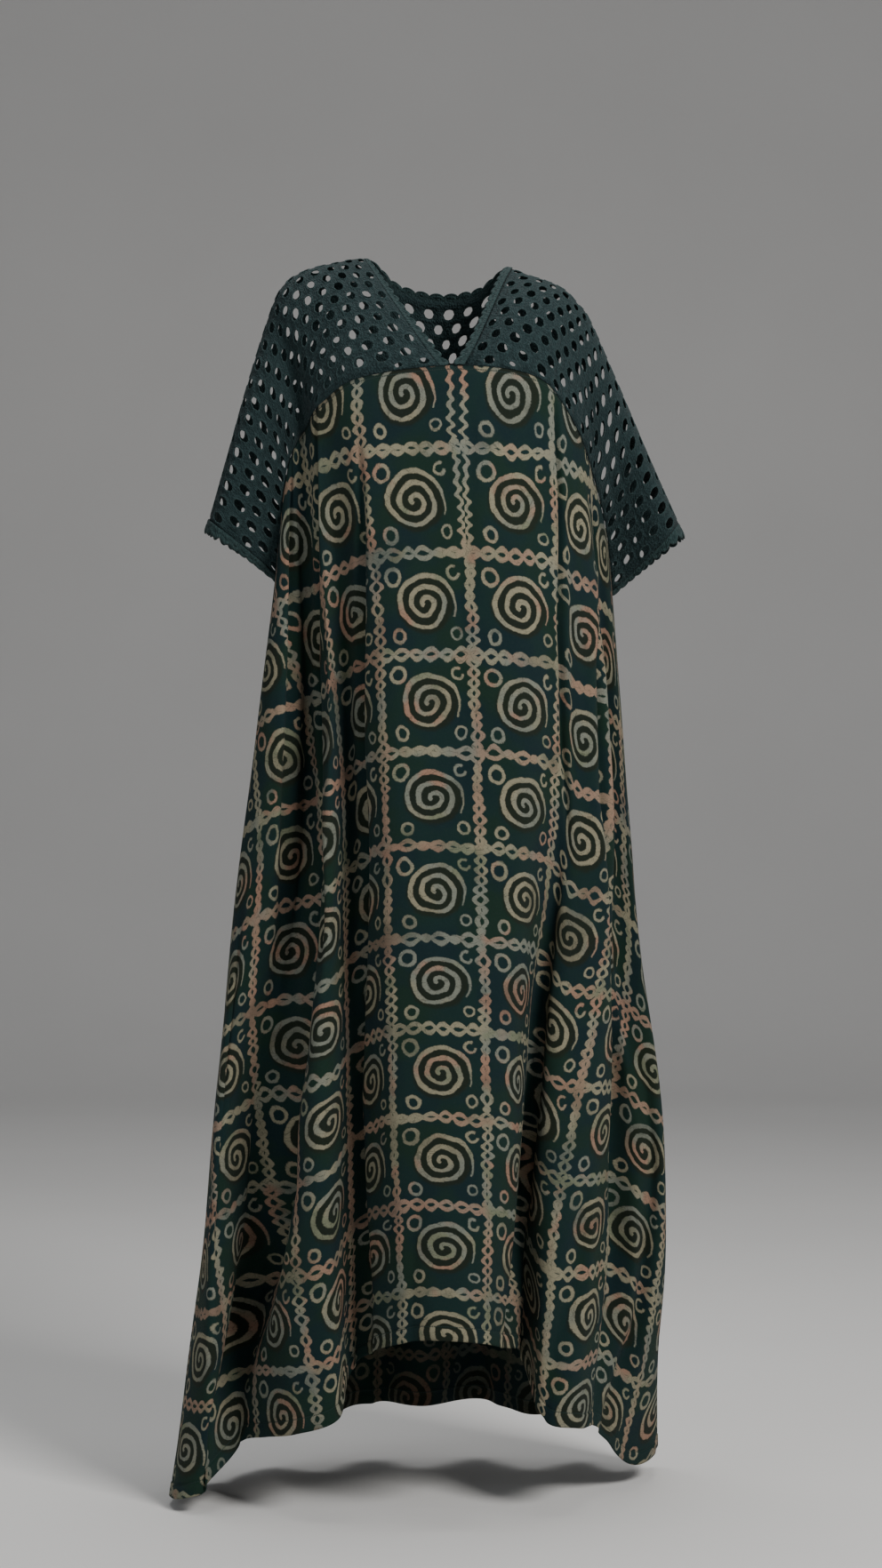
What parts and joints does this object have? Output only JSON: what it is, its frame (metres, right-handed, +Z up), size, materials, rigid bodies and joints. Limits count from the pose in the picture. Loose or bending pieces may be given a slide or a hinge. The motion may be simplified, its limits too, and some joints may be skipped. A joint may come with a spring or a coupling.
{
  "type": "lace maxi dress",
  "caption": "Kaftan-cut maxi dress with an eyelet lace yoke and wide cut-in sleeves, a scalloped V neck and a long folded body of printed cloth with an arched hem.",
  "frame": {"origin": "between the shoulders at the level of the neck points, where the shoulders of the wearer hold the dress", "axes": "+Z up, -Y out of the front of the dress, +X to the wearer's left"},
  "size_m": [0.6199, 0.3973, 1.4933],
  "materials": {
    "print": "matt woven cotton, wax-resist print in dark green, khaki and faded pink",
    "lace": "matt cotton eyelet lace with raised stitching",
    "edging": "matt crocheted cotton edging with scallops"
  },
  "bodies": {
    "root": {"print_front": "print", "print_back": "print", "lace_front_right": "lace", "lace_front_left": "lace", "lace_back": "lace", "neck_edging_right": "edging", "neck_edging_left": "edging", "neck_edging_back": "edging", "sleeve_edging_right_front": "edging", "sleeve_edging_right_back": "edging", "sleeve_edging_left_front": "edging", "sleeve_edging_left_back": "edging"}
  },
  "joints": []
}
